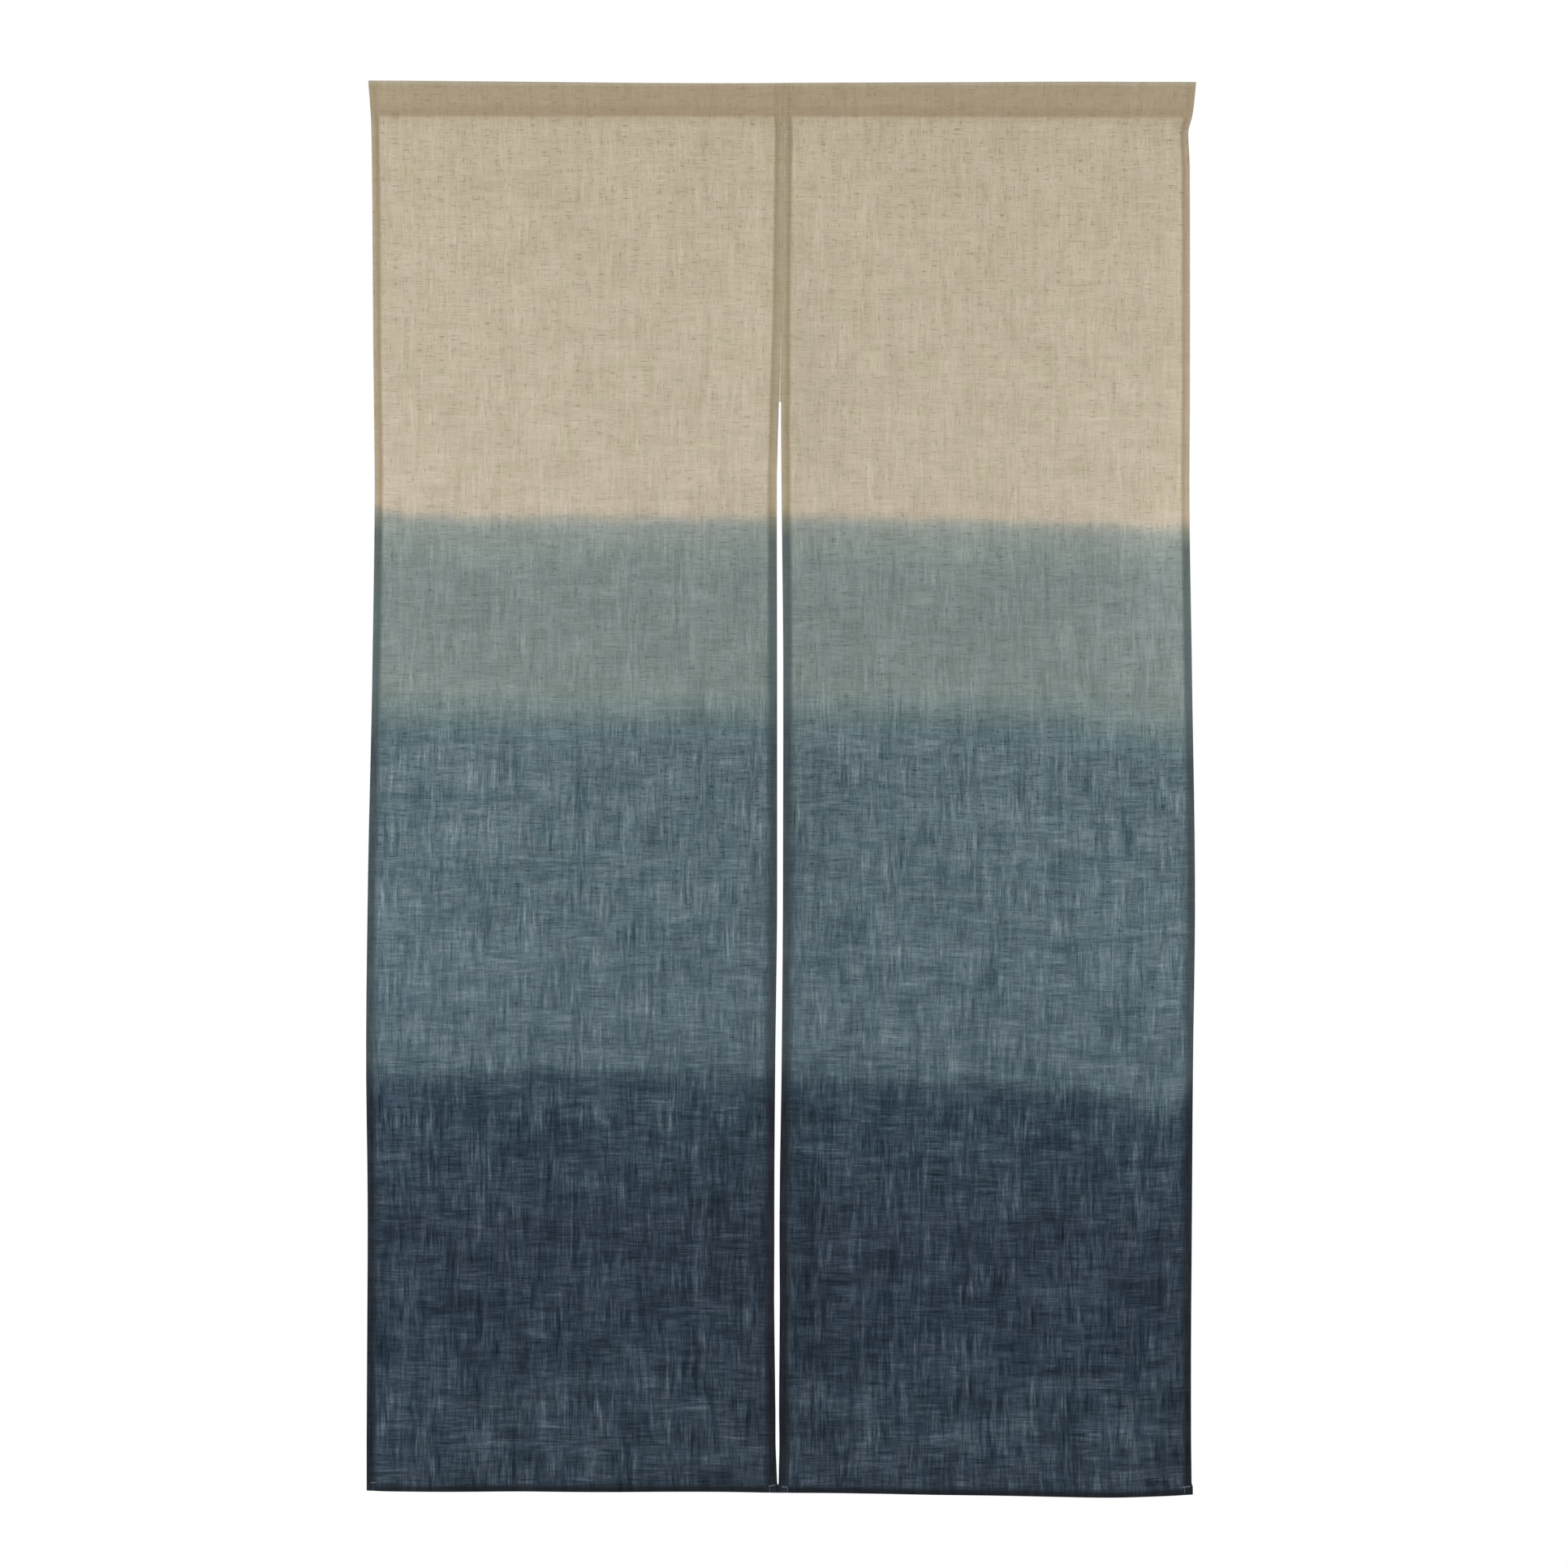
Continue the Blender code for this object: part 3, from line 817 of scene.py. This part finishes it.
def hem_path(width):
    """Across a side hem of the given width from its raw edge to the face: distance in from
    the outer edge and distance behind the face."""
    inner_turn = width - 0.5 * PLY
    path = [(RAW_EDGE_INSET, PLY), (0.43 * width, PLY), (0.74 * width, PLY)]
    for step in range(ARC_STEPS):
        angle = math.pi * step / (ARC_STEPS - 1)
        path.append((inner_turn + 0.5 * PLY * math.sin(angle),
                     PLY * (1.5 - 0.5 * math.cos(angle))))
    path += [(share * width, 2 * PLY) for share in (0.74, 0.43, 0.21)]
    for step in range(ARC_STEPS + 2):
        angle = math.pi * step / (ARC_STEPS + 1)
        path.append((PLY * (1 - math.sin(angle)), PLY * (1 + math.cos(angle))))
    stretch = width / OUTER_HEM
    path += [(inset * stretch * MM, 0.0) for inset in HEM_FACE_INSETS]
    return path


def path_lengths(path):
    steps = [math.hypot(b[0] - a[0], b[1] - a[1]) for a, b in zip(path, path[1:])]
    return np.concatenate([[0], np.cumsum(steps)])


class Columns:
    """Where the columns of a panel's grid lie: which edge each is measured from, how far
    in, how far behind the face, and how far along the flat cloth's width."""

    def __init__(self, width, hems):
        self.hems = hems
        left, right = (hem_path(hem) for hem in hems)
        left_lengths, right_lengths = path_lengths(left), path_lengths(right)
        left_reach, right_reach = left[-1][0], right[-1][0]
        middle = width - left_reach - right_reach
        count = int(round(middle / COLUMN_STEP))
        inner = np.arange(1, count) / count
        self.share = np.concatenate([np.zeros(len(left)), inner, np.ones(len(right))])
        self.offset = np.concatenate([
            [inset for inset, _ in left],
            left_reach * (1 - inner) - right_reach * inner,
            [-inset for inset, _ in reversed(right)],
        ])
        self.behind = np.concatenate([
            [depth for _, depth in left],
            np.zeros(len(inner)),
            [depth for _, depth in reversed(right)],
        ])
        self.flat_width = float(left_lengths[-1] + middle + right_lengths[-1])
        self.flat = np.concatenate([left_lengths, left_lengths[-1] + inner * middle,
                                    self.flat_width - right_lengths[::-1]])

    def place(self, left, right):
        return left * (1 - self.share) + right * self.share + self.offset

    def hem_depth(self):
        """How deep the side hem's extra layers are at each column, fading past the hem."""
        from_left = np.where(self.share == 0, self.offset, 1.0)
        from_right = np.where(self.share == 1, -self.offset, 1.0)
        past = np.minimum(from_left - self.hems[0], from_right - self.hems[1])
        return 2 * PLY * (1 - ease(past / (5 * MM)))


def relief(panel, x, drop):
    """How far the sewing and the cloth's own unevenness bring the face forward."""
    stitch, foot = panel.stitch_drop(x), panel.foot_drop(x)
    left, right = panel.edge(0, drop), panel.edge(1, drop)
    from_left, from_right = x - left, right - x
    seed = 3 if panel.side == "left" else 7
    wide, tall = RUMPLE_SIZE
    total = RUMPLE * soft_noise(x / wide + 40, drop / tall, seed)
    wide, tall = CRUMPLE_SIZE
    total += CRUMPLE_SHARE * RUMPLE * soft_noise(x / wide + 40, drop / tall, seed + 1)
    quiet = ease(np.minimum(from_left, from_right) / (30 * MM))
    total = total * (0.3 + 0.7 * quiet)
    lines = [
        (from_left, drop, panel.hems[0], seed + 2),
        (from_right, drop, panel.hems[1], seed + 3),
        (foot - drop, x, FOOT_HEM, seed + 4),
    ]
    for distance, along, width, line_seed in lines:
        stitch_at = width - STITCH_INSET
        total += HEM_PILLOW * np.sin(math.pi * np.clip(distance / stitch_at, 0, 1))
        total -= STITCH_GROOVE * np.exp(-((distance - stitch_at) / (0.9 * MM)) ** 2)
        wander = 1.2 * soft_noise(along / 0.03 + 50, along * 0 + line_seed, line_seed)
        strength = 0.55 + 0.45 * soft_noise(along / 0.04 + 50, along * 0 + 9, line_seed)
        wave = np.sin(2 * math.pi * along / PUCKER_WAVE + 2.2 * wander)
        reach = np.exp(-(abs(distance - stitch_at) / PUCKER_REACH) ** 1.3)
        total += PUCKER * strength * wave * reach
    below = drop - stitch
    wave = np.sin(2 * math.pi * x / PUCKER_WAVE + 3 * soft_noise(x / 0.03 + 50, x * 0, seed))
    total += PUCKER * wave * np.exp(-abs(below) / PUCKER_REACH)
    total -= STITCH_GROOVE * np.exp(-((below + POCKET_STITCH) / (1.0 * MM)) ** 2)
    return total


def pocket_shape(t):
    """Bulge of the pocket at a share t of its height, from 0 to 1: round over the top, then
    straight down to the line of stitches."""
    rise = np.sqrt(np.clip(1 - (1 - t / POCKET_WIDEST) ** 2, 0, 1))
    fall = np.clip((1 - t) / (1 - POCKET_WIDEST), 0, 1) ** 1.1
    return np.where(t < POCKET_WIDEST, rise, fall)


def stack(hem):
    """Depths of the inner and back layers of a doubled hem whose cloth is itself doubled
    at the sides by the given depth."""
    return hem + PLY, 3 * hem + 2 * PLY


def front_surface(panel, x, drop):
    """Depth (y) of the finished cloth's front at any place on the pocket or the face."""
    top, stitch, foot = panel.top_drop(x), panel.stitch_drop(x), panel.foot_drop(x)
    share = np.clip((drop - top) / (stitch - top), 0, 1)
    depth = panel.face(x, np.clip(drop, stitch, foot)) - relief(panel, x, drop)
    return depth - panel.bulge() * pocket_shape(share)


def panel_rows(panel, x, columns):
    """The cloth's path from the raw edge inside the pocket, over the pocket, down the face
    and round the foot hem: rows of depth behind the face and of drop."""
    hem = columns.hem_depth()
    top, stitch, foot = panel.top_drop(x), panel.stitch_drop(x), panel.foot_drop(x)
    bulge = panel.bulge()
    inner, back = stack(hem)
    height = stitch - top
    one = np.ones_like(x)
    rows = []

    def add(behind, drop):
        rows.append((behind * one, drop * one))

    # Allowance, inside the pocket's back wall, and the fold at the pocket's lower edge
    gap = back - inner
    for share in (1.0, 0.66, 0.33):
        t = 1 - share * POCKET_ALLOWANCE / height
        add(inner + bulge * pocket_shape(t), top + height * t)
    for step in range(1, ARC_STEPS):
        angle = math.pi * step / ARC_STEPS
        add(inner + gap * 0.5 * (1 - math.cos(angle)),
            stitch - 0.3 * MM + 0.5 * gap * math.sin(angle))
    # Back wall, crown and front wall
    falls = [1 - (1 - POCKET_WIDEST) * i / POCKET_FALL_ROWS for i in range(POCKET_FALL_ROWS)]
    angles = [0.5 * math.pi * (1 - i / POCKET_ARC_ROWS) for i in range(POCKET_ARC_ROWS + 1)]
    arcs = [POCKET_WIDEST * (1 - math.cos(angle)) for angle in angles]
    shares = falls + arcs
    for t in shares:
        add(back + bulge * pocket_shape(t), top + height * t)
    for t in reversed(shares):
        add(-bulge * pocket_shape(t), top + height * t)
    # Face
    for step in HEAD_STEPS:
        add(0, stitch + step * MM)
    start = stitch + HEAD_STEPS[-1] * MM
    end = foot - FOOT_STEPS[0] * MM
    count = int(round(float((end - start).mean()) / ROW_STEP))
    for i in range(1, count):
        add(0, start + (end - start) * i / count)
    for step in FOOT_STEPS:
        add(0, foot - step * MM)
    # Foot fold, back layer, inner turn and raw edge
    radius = back / 2
    for step in range(ARC_STEPS + 2):
        angle = math.pi * step / (ARC_STEPS + 1)
        add(radius * (1 - math.cos(angle)), foot - radius * (1 - math.sin(angle)))
    for share in (0.45, 0.75):
        add(back, foot - FOOT_HEM * share)
    for step in range(ARC_STEPS):
        angle = math.pi * step / (ARC_STEPS - 1)
        add(back - gap * 0.5 * (1 - math.cos(angle)),
            foot - FOOT_HEM + gap * 0.5 * (1 - math.sin(angle)))
    for share in (0.6, 0.25):
        add(inner, foot - FOOT_HEM * share)
    behind, drop = (np.array(part) for part in zip(*rows))
    return behind, drop, stitch, foot


def dye_depth(x, drop):
    """Drop in mm, shifted so that each wavering dye line comes at its own level."""
    across = [line.x for line in DYE_LINES]
    lines = [np.interp(x / MM, across, [getattr(line, name) for line in DYE_LINES])
             for name in ("sage", "slate", "navy")]
    levels = [DYE_LEVEL.sage, DYE_LEVEL.slate, DYE_LEVEL.navy]
    starts = [0.0 * x] + lines + [DYE_FOOT + 0.0 * x]
    targets = [0.0] + levels + [DYE_FOOT]
    drop = drop / MM
    out = drop
    for a, b, level_a, level_b in zip(starts, starts[1:], targets, targets[1:]):
        inside = (drop >= a) & (drop <= b)
        out = np.where(inside, level_a + (drop - a) / (b - a) * (level_b - level_a), out)
    return out


def column(rows, name):
    return [getattr(row, name) for row in rows]


def layers_and_painted_shade(inset, below_stitch, above_foot, dye):
    """How much denser than one layer the cloth looks, from its hems and its pocket, as painted
    shade where the layers let less light through, and beside the hems and under the pocket.
    The lengths are in metres and the dye level in mm."""
    insets = column(HEM_SHADES, "inset")

    def shade(distance, name):
        return np.interp(distance / MM, insets, column(HEM_SHADES, name))

    pale, sage, deep = (shade(inset, name) for name in ("pale", "sage", "deep"))
    side = pale + (sage - pale) * between(dye, PALE_TO_SAGE)
    side += (deep - sage) * between(dye, SAGE_TO_DEEP)
    foot = shade(above_foot, "foot")
    head = np.interp(below_stitch / MM, column(POCKET_SHADES, "below"),
                     column(POCKET_SHADES, "share"))
    return 1 - (1 - side) * (1 - foot) * (1 - head)


def uneven_dye_and_painted_light(x, drop):
    """Share of its band's colour that the cloth keeps, from the broad areas of uneven dye and of
    painted light and shade.
    """
    tone = np.ones_like(x)
    for patch in DYE_AND_SHADE_PATCHES:
        u = (x / MM - patch.x) / patch.half_width
        v = (drop / MM - patch.drop) / patch.half_height
        tone += patch.lighter * (1 - ease(np.hypot(u, v)))
    return tone


def set_attribute(mesh, name, kind, values):
    layer = mesh.attributes.new(name, kind, "POINT")
    key = "vector" if kind == "FLOAT_VECTOR" else "value"
    layer.data.foreach_set(key, np.asarray(values, np.float32).ravel())


def grid_faces(rows, columns):
    r, c = np.meshgrid(np.arange(rows - 1), np.arange(columns - 1), indexing="ij")
    first = (r * columns + c).ravel()
    corners = [first, first + columns, first + columns + 1, first + 1]
    return np.stack(corners, axis=1).tolist()


def mesh_from(name, points, faces):
    mesh = bpy.data.meshes.new(name)
    mesh.from_pydata(points.reshape(-1, 3).tolist(), [], faces)
    mesh.shade_smooth()
    return mesh


def build_cloth(panel, material):
    """One panel as a single surface, with its attributes for the material."""
    width = float(panel.edge(1, 0.5) - panel.edge(0, 0.5))
    columns = Columns(width, panel.hems)
    nominal = columns.place(panel.edge(0, 0.5), panel.edge(1, 0.5))
    behind, drop, stitch, foot = panel_rows(panel, nominal, columns)
    x = columns.place(panel.edge(0, drop), panel.edge(1, drop))
    face_drop = np.clip(drop, stitch, foot)
    depth = panel.face(x, face_drop) + behind - relief(panel, x, drop)
    # The wrong side of the cloth, square to its path, is where the side hems fold to
    run_y = np.gradient(depth, axis=0)
    run_z = np.gradient(-drop, axis=0)
    length = np.hypot(run_y, run_z)
    wrong_y, wrong_z = -run_z / length, run_y / length
    y = depth + columns.behind * wrong_y
    z = -drop + columns.behind * wrong_z
    points = np.stack([x, y, z], axis=-1)

    inset = panel.hem_inset(x, drop)
    dye = dye_depth(x, drop)
    layers_and_shade = layers_and_painted_shade(inset, drop - stitch, foot - drop, dye)
    shift = 0.0 if panel.side == "left" else 700.0
    across = np.broadcast_to(columns.flat / MM + shift, drop.shape)
    flat_length = np.cumsum(length[:, len(columns.flat) // 2])
    down = np.broadcast_to(flat_length[:, None] / MM, drop.shape)

    name = "linen_" + panel.side
    mesh = mesh_from(name, points, grid_faces(*drop.shape))
    set_attribute(mesh, "cloth", "FLOAT_VECTOR", np.stack([across, down, 0 * down], axis=-1))
    set_attribute(mesh, "dye", "FLOAT", dye)
    set_attribute(mesh, "plies_and_shade", "FLOAT", layers_and_shade)
    # Uneven dye and painted light and shade, over broad areas
    set_attribute(mesh, "tone", "FLOAT", uneven_dye_and_painted_light(x, drop))
    cloth = link(name, mesh)
    finish_piece(cloth, material)
    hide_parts(panel.panel, panel.pocket)
    return cloth, (columns.flat_width, float(flat_length[-1]))


def finish_piece(piece, material):
    piece.data.materials.append(material)
    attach(piece, "root")


def build_stay(panels, material):
    """The short strip behind the two inner hems at the head of the slit.  Where the hems
    part, it stands forward between them."""
    low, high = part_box("slit_stay")
    drop = np.linspace(-high.z, -low.z, STAY_ROWS)
    left = panels["left"].edge(1, drop)
    right = panels["right"].edge(0, drop)
    middle, half = (left + right) / 2, (right - left) / 2
    rear = (low.y + high.y) / 2
    face = panels["left"].face(left - SLIT_HEM / 2, drop) + STAY_RECESS
    opened = ease(half / STAY_OPENS)
    across, depths = [], []
    for section in STAY_SECTIONS:
        place = middle + section.across * half + math.copysign(section.past, section.across) * MM
        across.append(np.clip(place, low.x, high.x))
        depths.append(rear + (face - rear) * section.forward * opened)
    x, y = np.stack(across, axis=1), np.stack(depths, axis=1)
    # Painted highlight and shade across the stay, from its sections
    tone = np.broadcast_to(column(STAY_SECTIONS, "tone"), x.shape)
    drops = np.broadcast_to(drop[:, None], x.shape)
    mesh = mesh_from("stay", np.stack([x, y, -drops], axis=-1), grid_faces(*x.shape))
    set_attribute(mesh, "cloth", "FLOAT_VECTOR",
                  np.stack([(x - low.x) / MM + 1400, drops / MM, 0 * drops], axis=-1))
    set_attribute(mesh, "dye", "FLOAT", drops / MM)
    set_attribute(mesh, "plies_and_shade", "FLOAT", np.zeros_like(x))
    set_attribute(mesh, "tone", "FLOAT", tone)
    stay = link("stay", mesh)
    finish_piece(stay, material)
    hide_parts("slit_stay")


# ---------------------------------------------------------------- thread
def tubes(name, centres, radii):
    """Many short tubes in one mesh: centres by tube, ring and x, y, z, and a radius for each
    ring.  Each end is closed."""
    count, rings = centres.shape[:2]
    run = centres[:, -1] - centres[:, 0]
    run /= np.linalg.norm(run, axis=1, keepdims=True)
    out = np.broadcast_to([0.0, -1.0, 0.0], run.shape)
    side = np.cross(run, out)
    angles = 2 * math.pi * np.arange(THREAD_SIDES) / THREAD_SIDES
    spokes = (side[:, None, :] * np.cos(angles)[None, :, None]
              + out[:, None, :] * np.sin(angles)[None, :, None])
    points = centres[:, :, None, :] + spokes[:, None] * np.asarray(radii)[None, :, None, None]
    faces = []
    for tube in range(count):
        first = tube * rings * THREAD_SIDES
        for ring in range(rings - 1):
            for k in range(THREAD_SIDES):
                a = first + ring * THREAD_SIDES + k
                b = first + ring * THREAD_SIDES + (k + 1) % THREAD_SIDES
                faces.append((a, b, b + THREAD_SIDES, a + THREAD_SIDES))
        faces.append(tuple(range(first + THREAD_SIDES - 1, first - 1, -1)))
        last = first + (rings - 1) * THREAD_SIDES
        faces.append(tuple(range(last, last + THREAD_SIDES)))
    mesh = mesh_from(name, points, faces)
    flat = points.reshape(-1, 3)
    set_attribute(mesh, "dye", "FLOAT", dye_depth(flat[:, 0], -flat[:, 2]))
    set_attribute(mesh, "cloth", "FLOAT_VECTOR", flat[:, [0, 2, 1]] / MM)
    return link(name, mesh)


def stitch_lines(panel):
    """Middles of the stitches along the hems and under the pocket: x, drop, the direction of
    the line there, and how far the back stitches lie behind the front ones."""
    lines = []
    down = np.arange(SEAM_START, -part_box(panel.panel)[0].z - FOOT_HEM, STITCH_PITCH)
    for which, sign in ((0, 1), (1, -1)):
        inset = panel.hems[which] - STITCH_INSET
        x = panel.edge(which, down) + sign * inset
        lines.append((x, down, (0.0, 1.0), 2 * PLY))
    left, right = (float(panel.edge(which, SEAM_START)) for which in (0, 1))
    along = np.arange(left + panel.hems[0], right - panel.hems[1], STITCH_PITCH)
    foot = panel.foot_drop(along) - FOOT_HEM + STITCH_INSET
    lines.append((along, foot, (1.0, 0.0), 2 * PLY))
    pocket = panel.stitch_drop(along) - POCKET_STITCH
    lines.append((along, pocket, (1.0, 0.0), 2 * PLY))
    return lines


def build_stitches(panel, material):
    """Running stitches on both faces of every hem and along the foot of the pocket, where
    those at the back are hidden in the fold."""
    rng = np.random.default_rng(11 if panel.side == "left" else 12)
    centres = []
    for x, drop, (run_x, run_z), thick in stitch_lines(panel):
        wander = rng.normal(0, STITCH_WANDER, len(x))
        x, drop = x + wander * run_z, drop + wander * run_x
        for behind, shift in ((False, 0.0), (True, STITCH_PITCH / 2)):
            rings = []
            for along, sink in STITCH_RINGS:
                step = shift + along * STITCH_LENGTH
                ring_x, ring_drop = x + run_x * step, drop + run_z * step
                y = front_surface(panel, ring_x, ring_drop)
                y = y + thick - sink if behind else y + sink
                rings.append(np.stack([ring_x, y, -ring_drop], axis=-1))
            centres.append(np.stack(rings, axis=1))
    radii = [THREAD / 2 * share for share in STITCH_TAPER]
    piece = tubes("stitches_" + panel.side, np.concatenate(centres), radii)
    finish_piece(piece, material)
    return piece


def build_tacks(panel, material):
    """The heavier, paler stitches that lock the corners at the foot."""
    rng = np.random.default_rng(21 if panel.side == "left" else 22)
    centres = []
    for tack in TACKS:
        if tack.panel != panel.side:
            continue
        for strand in range(tack.strands):
            spread = (strand - (tack.strands - 1) / 2) * 0.8 * TACK_THREAD
            spread += rng.normal(0, 0.1 * TACK_THREAD)
            across = abs(tack.drop_end - tack.drop) > abs(tack.x_end - tack.x)
            share = np.linspace(0, 1, len(TACK_TAPER))
            x = (tack.x + (tack.x_end - tack.x) * share) * MM + spread * across
            drop = (tack.drop + (tack.drop_end - tack.drop) * share) * MM + spread * (not across)
            lift = 0.35 * TACK_THREAD * np.sin(math.pi * share) - 0.1 * TACK_THREAD
            y = front_surface(panel, x, drop) - lift
            centres.append(np.stack([x, y, -drop], axis=-1))
    radii = [TACK_THREAD / 2 * share for share in TACK_TAPER]
    piece = tubes("tacks_" + panel.side, np.array(centres), radii)
    finish_piece(piece, material)
    return piece


def main():
    make_camera()
    linen = linen_material()
    thread = thread_material()
    tack = tack_material()
    panels = {side: Panel(side) for side in ("left", "right")}
    swell_foot_hems(panels)
    for panel in panels.values():
        cloth, flat = build_cloth(panel, linen)
        sewing = [build_stitches(panel, thread), build_tacks(panel, tack)]
    build_stay(panels, linen)
    light_scene()


def add_softbox(name, place, target, size, power):
    data = bpy.data.lights.new(name, "AREA")
    data.shape = "RECTANGLE"
    data.size, data.size_y = size
    data.energy = power
    lamp = link(name, data)
    lamp.location = place
    aim = Vector(target) - lamp.location
    lamp.rotation_euler = aim.to_track_quat("-Z", "Y").to_euler()


def light_scene():
    scene = bpy.context.scene
    scene.view_settings.view_transform = "Standard"
    world = bpy.data.worlds.new("studio")
    scene.world = world
    world.use_nodes = True
    tree = world.node_tree
    tree.nodes.clear()
    seen = tree.nodes.new("ShaderNodeBackground")
    lit = tree.nodes.new("ShaderNodeBackground")
    lit.inputs["Strength"].default_value = ROOM_LIGHT
    seen.inputs["Color"].default_value = (1, 1, 1, 1)
    lit.inputs["Color"].default_value = (1, 1, 1, 1)
    path = tree.nodes.new("ShaderNodeLightPath")
    mix = tree.nodes.new("ShaderNodeMixShader")
    out = tree.nodes.new("ShaderNodeOutputWorld")
    tree.links.new(path.outputs["Is Camera Ray"], mix.inputs[0])
    tree.links.new(lit.outputs[0], mix.inputs[1])
    tree.links.new(seen.outputs[0], mix.inputs[2])
    tree.links.new(mix.outputs[0], out.inputs[0])
    x, y, z = SOFTBOX_AT
    add_softbox("softbox_left", (-x, y, z), (0, 0, z), SOFTBOX_SIZE, SOFTBOX_POWER["left"])
    add_softbox("softbox_right", (x, y, z), (0, 0, z), SOFTBOX_SIZE, SOFTBOX_POWER["right"])
    add_softbox("softbox_top", TOP_LIGHT_AT, (0, 0, 0), TOP_LIGHT_SIZE, TOP_LIGHT_POWER)
    bpy.ops.mesh.primitive_circle_add(vertices=96, radius=FLOOR_RADIUS, fill_type="NGON",
                                      location=(0, 0, FLOOR_LEVEL))
    floor = bpy.context.object
    floor.name = "floor"
    nodes = Nodes("pale_floor")
    shader = nodes.add("ShaderNodeBsdfPrincipled", Roughness=0.9)
    shader.inputs["Base Color"].default_value = (0.82, 0.82, 0.81, 1)
    nodes.add("ShaderNodeOutputMaterial", Surface=shader.outputs[0])
    floor.data.materials.append(nodes.material)


main()
